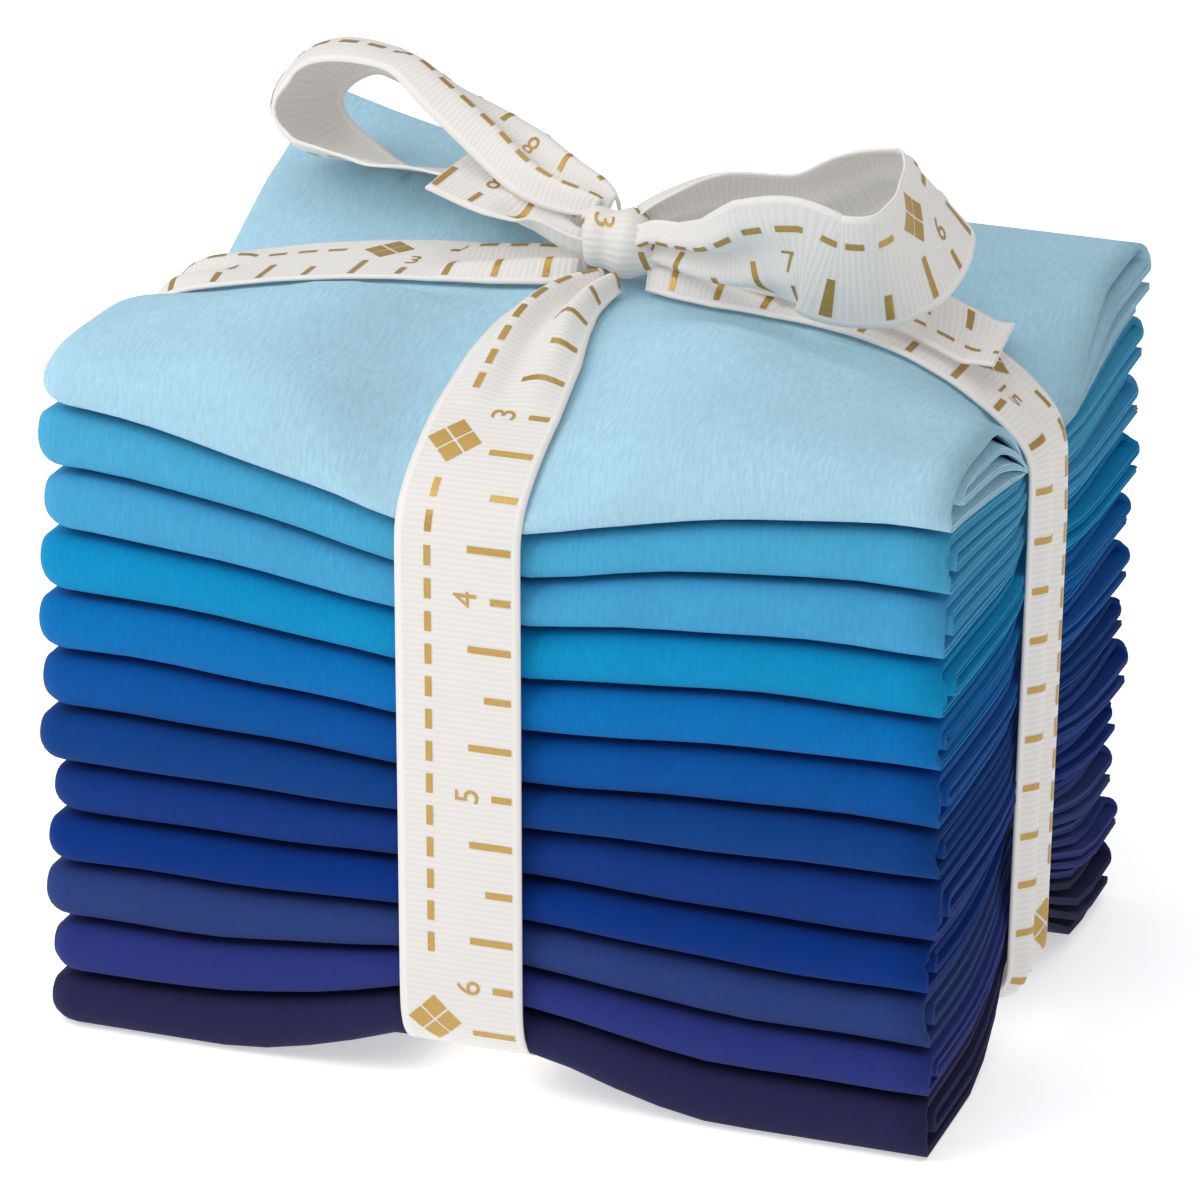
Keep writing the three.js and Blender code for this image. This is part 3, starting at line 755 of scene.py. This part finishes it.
# %% A small builder for node trees
class Print(Nodes):
    """A geometry node tree with named inputs."""

    def __init__(self, name):
        super().__init__(bpy.data.node_groups.new(name, "GeometryNodeTree"))
        for way in ("INPUT", "OUTPUT"):
            self.tree.interface.new_socket("Geometry", in_out=way, socket_type="NodeSocketGeometry")
        self.inputs = {}

    def size(self, name, value):
        socket = self.tree.interface.new_socket(name, in_out="INPUT", socket_type="NodeSocketFloat")
        socket.default_value = value
        self.inputs[name] = socket.identifier

    def vector(self, x=0.0, y=0.0):
        return self.node("ShaderNodeCombineXYZ", [x, y])

    def line(self, count, start, every):
        places = {"Count": count, "Start Location": start, "Offset": self.vector(every)}
        return self.node("GeometryNodeMeshLine", places, mode="OFFSET")

    def grid(self, *sizes):
        return self.node("GeometryNodeMeshGrid", sizes)

    def joined(self, shapes):
        return self.node("GeometryNodeJoinGeometry", [shapes])

    def on_points(self, points, mark):
        return self.node("GeometryNodeInstanceOnPoints", {"Points": points, "Instance": mark})

    def moved(self, shape, place, turn):
        where = {"Geometry": shape, "Translation": place, "Rotation": (0.0, 0.0, turn)}
        return self.node("GeometryNodeTransform", where)

    def without(self, shape, chosen):
        return self.node("GeometryNodeDeleteGeometry", [shape, chosen], domain="POINT")

    def realized(self, shape):
        return self.node("GeometryNodeRealizeInstances", [shape])


# %% Draw the marks and wrap them on
PRINT_SIZES = {
    "First inch": 0.0,
    "Inches": 6.0,
    "Mark width": 0.034,
    "Long mark": 0.215,
    "Short mark": 0.135,
    "Edge gap": 0.045,
    "Stitch length": 0.1,
    "Stitch every": 0.165,
}
HIGHEST_NUMBER = 24
STITCH_LINE = 0.165
MOTIF = {"every": 3.0, "first": 0.2, "line": 0.175, "clear": 0.26, "patch": 0.09, "apart": 0.072}
LIFT = 0.00006


def ruler_marks(tree, given):
    """Rows of marks that stand on the right edge, and the numbers beside them."""

    def marks(first, every, length):
        count = (given["Inches"] / every).maths("FLOOR") + 2.0
        y = RIBBON_INCHES - given["Edge gap"] - length * 0.5
        start = tree.vector(given["First inch"].maths("FLOOR") + first, y)
        return tree.on_points(tree.line(count, start, every), tree.grid(given["Mark width"], length, 2, 7))

    rows = [
        marks(0.25, 0.5, given["Long mark"]),
        marks(0.5, 1.0, given["Short mark"]),
        marks(0.0, 1.0, given["Short mark"] * 0.75),
    ]
    y = RIBBON_INCHES - 0.13 - given["Short mark"]
    for number in range(1, HIGHEST_NUMBER + 1):
        word = {"String": str(number), "Size": 0.17}
        text = tree.node("GeometryNodeStringToCurves", word, align_x="CENTER", align_y="MIDDLE")
        filled = tree.node("GeometryNodeFillCurve", [tree.realized(text)], mode="TRIANGLES")
        rows.append(tree.moved(filled, tree.vector(float(number), y), math.pi))
    return rows


def stitches_and_motifs(tree, given):
    """A dashed line that stops short of each motif, which is four patches set on their points."""
    count = given["Inches"] / given["Stitch every"] + 12.0
    start = tree.vector(given["First inch"].maths("FLOOR"), STITCH_LINE)
    line = tree.line(count, start, given["Stitch every"])
    x = tree.node("ShaderNodeSeparateXYZ", [tree.node("GeometryNodeInputPosition")])
    from_motif = (x - MOTIF["first"]).maths("PINGPONG", MOTIF["every"] / 2)
    free = tree.without(line, from_motif.maths("LESS_THAN", MOTIF["clear"]))
    stitches = tree.on_points(free, tree.grid(given["Stitch length"], 0.034, 4, 2))
    patch = tree.grid(MOTIF["patch"], MOTIF["patch"], 3, 3)
    apart = MOTIF["apart"]
    places = [(apart, 0.0, 0.0), (-apart, 0.0, 0.0), (0.0, apart, 0.0), (0.0, -apart, 0.0)]
    diamond = tree.joined([tree.moved(patch, place, math.pi / 4) for place in places])
    motifs = tree.line(9, tree.vector(MOTIF["first"], MOTIF["line"]), MOTIF["every"])
    return [stitches, tree.on_points(motifs, diamond)]


def wrapped_on(tree, given, drawn):
    """Moves each point of the flat drawing to its place on the ribbon, and drops what has none."""
    flat = tree.node("GeometryNodeSubdivideMesh", {"Mesh": drawn, "Level": 2})
    spot = tree.node("GeometryNodeInputPosition")
    own_map = {"Geometry": flat, "Name": "ribbon", "Value": spot}
    stored = tree.node("GeometryNodeStoreNamedAttribute", own_map, data_type="FLOAT2", domain="CORNER")
    vectors = {"data_type": "FLOAT_VECTOR"}
    ribbon_map = tree.node("GeometryNodeInputNamedAttribute", {"Name": "ribbon"}, **vectors)
    place = tree.vector_maths("SUBTRACT", spot, tree.vector(given["First inch"]))
    look_up = {"Mesh": given["Geometry"], "UV Map": ribbon_map, "Sample UV": place}

    def sampled(kind):
        return tree.node("GeometryNodeSampleUVSurface", {**look_up, "Value": tree.node(kind)}, **vectors)

    surface, normal = sampled("GeometryNodeInputPosition"), sampled("GeometryNodeInputNormal")
    found = surface.socket.node.outputs["Is Valid"]
    kept = tree.without(stored, tree.node("FunctionNodeBooleanMath", [found], operation="NOT"))
    raised = tree.node("ShaderNodeVectorMath", {0: normal, "Scale": LIFT}, operation="SCALE")
    target = {"Geometry": kept, "Position": tree.vector_maths("ADD", surface, raised)}
    return tree.node("GeometryNodeSetPosition", target)


def ruler_print():
    tree = Print("gold ruler print")
    for name, value in PRINT_SIZES.items():
        tree.size(name, value)
    given = {socket.name: Value(tree, socket) for socket in tree.add("NodeGroupInput").outputs}
    drawn = tree.realized(tree.joined(ruler_marks(tree, given) + stitches_and_motifs(tree, given)))
    whole = tree.realized(wrapped_on(tree, given, drawn))
    gilt = tree.node("GeometryNodeSetMaterial", {"Geometry": whole, "Material": GOLD_FOIL})
    tree.add("NodeGroupOutput", [gilt])
    return tree


RULER = ruler_print()


def print_ruler(ribbon, first_inch):
    """Prints the ribbon's outer side. The foil is a piece of its own that goes with the ribbon."""
    foil = add_object(f"{ribbon.name}_print", ribbon.data.copy())
    modifier = foil.modifiers.new("print", "NODES")
    modifier.node_group = RULER.tree
    modifier[RULER.inputs["First inch"]] = first_inch
    modifier[RULER.inputs["Inches"]] = ribbon["inches"]
    graph = bpy.context.evaluated_depsgraph_get()
    shown = foil.evaluated_get(graph)
    wrapped = bpy.data.meshes.new_from_object(shown, preserve_all_data_layers=True, depsgraph=graph)
    foil.modifiers.clear()
    plain, foil.data = foil.data, wrapped
    bpy.data.meshes.remove(plain)
    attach(foil, "root")
    print(ribbon.name, round(ribbon["inches"], 2), "inches,", len(foil.data.polygons), "faces of foil")
    return foil


def lay_ribbon(ribbon, node, first_inch):
    """Attaches one stretch of ribbon to the root, hides its imported part and prints it."""
    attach(ribbon, "root")
    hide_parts(node)
    foil = print_ruler(ribbon, first_inch)
    return ribbon


# %% [markdown]
# ## The two belts
# The ribbon first goes round the stack both ways. Each belt keeps close to the cloth's outline: it dips
# with the pillow, turns over the front fold, runs straight down and passes underneath. Near the knot it
# is gathered into pleats. The belt over the ends is squeezed a little narrower at the right, where it
# also slips towards the front on its way down.

# %% Follow the stack's outline
CLOSE = 0.62
KNOT = {"x": 0.8, "y": 2.0, "z": 96.3, "half_width": 4.6, "half_depth": 4.2, "half_height": 4.3}
FRONT_FACE = HALF_DEPTH + max(cloth["front"] for cloth in CLOTHS)
BACK_FACE = HALF_DEPTH + max(cloth["back"] for cloth in CLOTHS)
WEST_FACE = HALF_WIDTH + max(cloth["west"] for cloth in CLOTHS)
EAST_FACE = HALF_WIDTH + max(cloth["east"] for cloth in CLOTHS)
EAST_PRESS = 1.9
SHOULDER_FOOT = 76.5


def offset_outline(outline, distance):
    """Moves an outline out. It turns round the stack so that (dz, -du) looks out."""
    outline = np.asarray(outline, float)
    side = unit(np.diff(outline, axis=0))
    out = np.stack([side[:, 1], -side[:, 0]], axis=1)
    first, second = np.concatenate([out[:1], out]), np.concatenate([out, out[-1:]])
    dot = np.sum(first * second, axis=1, keepdims=True)
    return outline + (first + second) * distance / (1 + dot)


def even(path):
    """The same path with points a millimetre apart."""
    length = length_along(path)
    at = np.linspace(0, length[-1], int(length[-1]) + 1)
    return np.stack([np.interp(at, length, path[:, i]) for i in range(path.shape[1])], axis=1), at


def relax(path, times):
    """Softens the corners of a path and keeps its ends."""
    for _ in range(times):
        path[1:-1] = path[1:-1] * 0.5 + (path[:-2] + path[2:]) * 0.25
    return path


def face_of(k, which, x=None, y=None):
    """Highest or lowest height of a cloth's face under the ribbon's width, at a place along one belt."""
    spots = [(x, TIE["y"] + s) if y is None else (TIE["x"] + s, y) for s in (-8.0, 0.0, 8.0)]
    heights = [float(faces(k, np.array(x), np.array(y))[which == "upper"]) for x, y in spots]
    return max(heights) if which == "upper" else min(heights)


def belt(name, node, outline, to_space, across, widths, first_inch, drift=0.0):
    """widths lists (distance from the nearer end, width that is left). drift moves the ends aside."""
    path, at = even(relax(even(offset_outline(outline, CLOSE))[0], 5))
    from_end = np.minimum(at, at[-1] - at)
    width = np.interp(from_end, *zip(*widths))
    aside = drift * np.clip(1 - from_end / 15, 0, 1)[:, None] ** 2
    middle = to_space(path[:, 0], path[:, 1]) + np.array(across) * aside
    surface = strip_surface(middle, np.tile(across, (len(at), 1)), width, np.zeros(len(at)), 18)
    return lay_ribbon(strip_piece(name, surface), node, first_inch)


def front_belt():
    near, far = TIE["y"] - 4.4, TIE["y"] + 4.4
    top = [(y, face_of(TOP, "upper", y=y)) for y in (near, -6, -10, -14, -18, -22, -26, -30)]
    sides = np.array([TIE["x"] - 8, TIE["x"] + 8])
    shoulder = []
    for y, level in front_turn(TOP)[::-1]:
        height = float(np.max(settle(np.full(2, level), *faces(TOP, sides, np.full(2, y)))))
        if height > SHOULDER_FOOT:
            shoulder.append((y, height))
    front = [(-FRONT_FACE, z) for z in (74, 40, 12)]
    foot = face_of(0, "lower", y=-40)
    heel = [(-FRONT_FACE + inward, z) for inward, z in ((0.3, 9.4), (1.6, 7.0), (4, foot))]
    under = [(y, face_of(0, "lower", y=y)) for y in (-36, -28, -20, -10, 0, 10, 20, 30, 38)]
    brink = face_of(TOP, "upper", y=44)
    back = [(HALF_DEPTH - 1.6, under[-1][1] + 0.8), (HALF_DEPTH - 1, 10), (BACK_FACE, brink - 4)]
    back += [(BACK_FACE + 0.7, brink), (HALF_DEPTH, brink + 0.8)]
    rear = [(y, face_of(TOP, "upper", y=y)) for y in (38, 32, 26, 20, 14, 10, far)]
    outline = top + shoulder + front + heel + under + back + rear

    def place(y, z):
        return np.stack([np.full(len(y), TIE["x"]), y, z], axis=1)

    widths = [(0, 4.6), (4, 7.5), (11, 11.5), (20, 14.6), (30, RIBBON_WIDTH)]
    across, drift = (1.0, 0.0, 0.0), KNOT["x"] - TIE["x"]
    return belt("ribbon_over_front", "ribbon_front_belt", outline, place, across, widths, 1.75, drift)


def end_belt():
    def floor(x):
        other_belt = 1.1 if abs(x - TIE["x"]) < 12 else 0
        return face_of(0, "lower", x=x) - other_belt

    left, right = KNOT["x"] - KNOT["half_width"], KNOT["x"] + KNOT["half_width"]
    top = [(x, face_of(TOP, "upper", x=x)) for x in (left, -10, -18, -26, -34, -42, -50, -56)]
    west = [(-WEST_FACE + 1.4, top[-1][1] - 1.5), (-WEST_FACE, 78), (-WEST_FACE, floor(-57) + 3)]
    west.append((-WEST_FACE + 1, floor(-57) + 1))
    under = [(x, floor(x)) for x in (-57, -46, -34, -22, -15, -9, 3, 10, 20, 32, 44, 54)]
    brink, wall = face_of(TOP, "upper", x=HALF_WIDTH - 1), EAST_FACE - EAST_PRESS
    east = [(wall, z) for z in (floor(56) + 0.6, 40, brink - 6, brink)]
    back = [(x, face_of(TOP, "upper", x=x)) for x in (54, 52, 50, 46, 40, 34, 27, 20, 13, right)]
    outline = top + west + under + east + back

    def place(x, z):
        slip = np.interp(z, [0, 76], [6.0, 0.5]) * np.interp(x, [20, 50], [0, 1])
        return np.stack([x, TIE["y"] - slip, z], axis=1)

    widths = [(0, 7.0), (4, 10.5), (10, 14.0), (18, RIBBON_WIDTH), (46, RIBBON_WIDTH)]
    widths += [(66, 13.6), (120, 13.2), (150, RIBBON_WIDTH)]
    return belt("ribbon_over_ends", "ribbon_end_belt", outline, place, (0.0, -1.0, 0.0), widths, 2.1)


front_ribbon = front_belt()
end_ribbon = end_belt()

# %% [markdown]
# ## The bow
# Two loops and two tails come out of the knot. Each is one strip through a short table of rows. heading
# turns the ribbon's width from straight back towards the right, and lean tips it down. The last column
# says how far the ribbon curls over its width, like a leaf.

# %% List the bow's rows
BOW_COLUMNS = ("x", "y", "z", "heading", "lean", "width", "curl")
LEFT_LOOP = [
    (-2.6, 3.4, 96.2, -22, 2, 4.5, 0),
    (-5.2, 5, 95.6, -22, 5, 6, 0),
    (-10, 9, 96.5, -22, 8, 9, 0),
    (-16.5, 13, 97.1, -22, 12, 13, 0),
    (-22.2, 16.2, 97.3, -22, 14, 15.9, 0),
    (-30.5, 17.5, 97.8, -21, 16, 15.9, 0),
    (-37, 19, 97.4, -19, 16, 15.9, 0),
    (-42.6, 21.5, 97.8, -8, 11, 15.9, 30),
    (-47.8, 24, 99.4, 9, 5, 15.9, 90),
    (-50.2, 25, 102.5, 21, 11, 15.9, 120),
    (-47.6, 25, 106.2, 3, 27, 15.9, 130),
    (-43, 23, 108.4, -9, 22, 15.9, 125),
    (-35.3, 20, 108.2, -14, 22, 15.9, 122),
    (-28, 16, 105.9, -17, 14, 15, 112),
    (-17.5, 12, 102.6, -12, -4, 13, 80),
    (-10.2, 8, 100.8, -8, -14, 10.5, 50),
    (-4, 5, 99.8, -4, -12, 7.5, 20),
    (-1.6, 3.6, 99.2, -4, -7, 4.5, 0),
]
RIGHT_LOOP = [
    (3.4, 3.4, 98, -4, 56, 5, 0),
    (7.2, 5, 99.3, -4, 56, 9, 0),
    (12.2, 9, 100.3, -7, 55, 12, 0),
    (21.5, 13, 99.8, 8, 53, 13, 0),
    (30.1, 13, 104.4, 28, 39, 13, 0),
    (38.3, 10, 105.1, 42, 47, 15.9, 0),
    (40.7, 5, 103.9, 48, 54, 15.9, 0),
    (41.3, -1, 102.6, 57, 63, 15.9, 0),
    (40.7, -6, 101.5, 36, 64, 15.9, 0),
    (38.2, -10, 100.3, 27, 68, 15.9, 0),
    (32.9, -11, 100.2, 33, 72, 15.9, 0),
    (28.3, -11, 101.6, 37, 76, 15.9, 0),
    (22.8, -9, 100.9, 0, 63, 15.5, 0),
    (17.1, -6, 99.2, 13, 60, 11, 0),
    (11.5, -2.5, 98.2, -14, 62, 7, 0),
    (6.9, 0.5, 97.8, -5, 60, 6, 0),
    (3.6, 1.4, 97.2, -5, 60, 4.5, 0),
]
LEFT_TAIL = [
    (-1.9, 1.7, 97, -19, -8, 4.5, 0),
    (-4.9, 1.6, 97.8, -19, -8, 6, 0),
    (-8.2, 4, 99, -6, -9, 13, 0),
    (-13.5, 6, 100.2, -4, -11, 15.9, 0),
    (-19.3, 8, 101.2, -2, -11, 15.9, 0),
    (-24.4, 9.3, 102.1, -1, -9, 15.9, 0),
]


def cut_slanted(surface, slant):
    """Shortens one edge of a strip's far end, the far edge where slant is above 0."""
    rows, lanes = surface.shape[:2]
    length = np.linalg.norm(np.diff(surface[:, lanes // 2], axis=0), axis=1).sum()
    row = np.arange(rows)
    cut = surface.copy()
    for lane in range(lanes):
        part = lane / (lanes - 1) if slant > 0 else 1 - lane / (lanes - 1)
        at = np.linspace(0, (rows - 1) * (1 - abs(slant) / length * part), rows)
        for axis in range(3):
            cut[:, lane, axis] = np.interp(at, row, surface[:, lane, axis])
    return cut


BOW_STEPS, BOW_LANES = 6, 18


def bow_strip(name, table, node, first_inch, printed=1, slant=0.0):
    """The strip through a table's rows. printed is -1 where its print faces the other way."""
    row = dict(zip(BOW_COLUMNS, np.array(table, float).T))
    turned, tipped = np.radians(row["heading"]), np.radians(row["lean"])
    level = np.stack([np.sin(turned) * np.cos(tipped), np.cos(turned) * np.cos(tipped)])
    across = np.stack([*level, -np.sin(tipped)], axis=1)
    t = np.linspace(0, len(table) - 1, (len(table) - 1) * BOW_STEPS + 1)
    at = catmull(np.stack([row["x"], row["y"], row["z"]], axis=1), t)
    width, curl = (np.interp(t, np.arange(len(table)), row[key]) for key in ("width", "curl"))
    surface = strip_surface(at, catmull(across, t), width, curl, BOW_LANES)
    piece = strip_piece(name, cut_slanted(surface, slant), printed=printed)
    return lay_ribbon(piece, node, first_inch)


left_loop = bow_strip("bow_loop_left", LEFT_LOOP, "ribbon_left_loop", 3.85)
right_loop = bow_strip("bow_loop_right", RIGHT_LOOP, "ribbon_right_loop", 4.03)
left_tail = bow_strip("bow_tail_left", LEFT_TAIL, "ribbon_left_tail", 7.3, printed=-1, slant=-1.6)


# %% Lay the right tail along the belt
# x, y and width of each row
RIGHT_TAIL = [
    (4.2, 4.2, 4.5),
    (7.5, 5.5, 7),
    (12, 5.5, 13),
    (17, 5.5, 15),
    (22, 5.3, 15.9),
    (30, 5, 15.9),
    (38, 4.7, 15.9),
    (43, 4.6, 15.9),
    (46.5, 4.4, 15.9),
    (49, 4.2, 15.9),
    (51.5, 4, 15.9),
]
TAIL_OVER_CLOTH = 2.1
LAST_REST = 46.0


def tail_rows():
    """The tail lies on the belt up to LAST_REST, and its cut end stands free."""
    rows = []
    for x, y, width in RIGHT_TAIL:
        z = face_of(TOP, "upper", x=min(x, LAST_REST)) + TAIL_OVER_CLOTH
        rows.append((x, y, z + (0.2 if x > LAST_REST else 0), 0, 0, width, 0))
    x, y, z, *rest = rows[0]
    return [(x, y, z + 0.6, *rest)] + rows[1:]


right_tail = bow_strip("bow_tail_right", tail_rows(), "ribbon_right_tail", 9.6, slant=6.5)

# %% [markdown]
# ## The knot
# The ribbon is wound once round the crossing, from behind and below to behind and below again. It is
# squeezed there, so it is pleated, and its edges tuck in at both sides.

# %% Wind the knot
def tucked(lanes, tuck, power):
    """The section of a strip, 1 wide, whose edges are tucked under: places across it and heights."""
    v = np.linspace(-0.5, 0.5, lanes + 1)
    bend = np.radians(tuck) * np.sign(v) * np.abs(2 * v) ** power
    step = 1 / lanes
    slope = (bend[1:] + bend[:-1]) / 2
    out = np.concatenate([[0], np.cumsum(np.cos(slope) * step)])
    rise = np.concatenate([[0], np.cumsum(-np.sin(slope) * step)])
    return out - out[lanes // 2], rise - rise[lanes // 2]


def wound_knot():
    """Print up, so the turns and the lanes both run backwards."""
    turns = np.radians(np.linspace(440, 100, 61))[:, None]
    out, rise = tucked(36, 172, 2.1)
    out = -out
    squeeze = 1 - 0.13 * np.cos(turns + 0.9)
    fold = 0.32 * np.sin(2.3 * out * RIBBON_WIDTH / 2 + 1.5 * np.sin(turns)) - 0.32
    crown = rise * RIBBON_WIDTH * (0.55 + 0.1 * np.sin(turns)) + fold
    x = KNOT["x"] + out * RIBBON_WIDTH * squeeze + 0.9 * np.sin(turns + 0.6)
    y = KNOT["y"] - (KNOT["half_depth"] + crown) * np.cos(turns)
    z = KNOT["z"] - (KNOT["half_height"] + crown) * np.sin(turns)
    print("the knot is", round(float(np.ptp(x)), 1), "mm wide")
    piece = strip_piece("bow_knot", np.stack([x, y, z], axis=-1))
    return lay_ribbon(piece, "ribbon_knot", 2.7)


knot = wound_knot()

# %% [markdown]
# ## A white sweep and soft lamps
# Large lamps close to the stack give the even light of a product photograph, a little stronger from the
# left. The floor is a pale sheet that bounces light back under the folds. Its own faint light keeps it
# white up to the horizon.

# %% Light the stack
PAPER_GLOW = 0.5
FLOOR_REACH = 3.0
WORLD_STRENGTH = 0.37

floor_finish = Finish("pale paper")
grain = floor_finish.noise(floor_finish.node("ShaderNodeTexCoord", output=3), 40.0)
paper = floor_finish.blend(grain, (0.93, 0.93, 0.93, 1.0), (0.95, 0.95, 0.95, 1.0))
floor_finish.set(
    Base_Color=paper,
    Roughness=0.9,
    Specular_IOR_Level=0.1,
    Emission_Color=(1, 1, 1, 1),
    Emission_Strength=PAPER_GLOW,
)
floor_mesh = bpy.data.meshes.new("floor")
floor_corners = [(x * FLOOR_REACH, y * FLOOR_REACH, 0) for x, y in ((-1, -1), (1, -1), (1, 1), (-1, 1))]
floor_mesh.from_pydata(floor_corners, [], [(0, 1, 2, 3)])
floor_mesh.materials.append(floor_finish.material)
floor = add_object("floor", floor_mesh)

LAMPS = [
    {"name": "key", "turn": -48, "rise": 38, "away": 0.42, "size": 0.3, "power": 0.8},
    {"name": "fill", "turn": 75, "rise": 35, "away": 1.0, "size": 0.8, "power": 0.4},
    {"name": "top", "turn": 0, "rise": 80, "away": 1.1, "size": 1.2, "power": 5.6},
]
for lamp in LAMPS:
    light = bpy.data.lights.new(lamp["name"], "AREA")
    light.size = lamp["size"]
    light.energy = lamp["power"]
    holder = add_object(lamp["name"], light)
    direction = view_direction(lamp["turn"], lamp["rise"])
    holder.location = AIM + direction * lamp["away"]
    holder.rotation_euler = (-direction).to_track_quat("-Z", "Y").to_euler()
world = bpy.data.worlds.new("soft white")
world.use_nodes = True
background = world.node_tree.nodes["Background"]
background.inputs["Color"].default_value = (1.0, 1.0, 1.0, 1.0)
background.inputs["Strength"].default_value = WORLD_STRENGTH
bpy.context.scene.world = world
bpy.context.scene.view_settings.view_transform = "Standard"
print("lit by", len(LAMPS), "lamps")
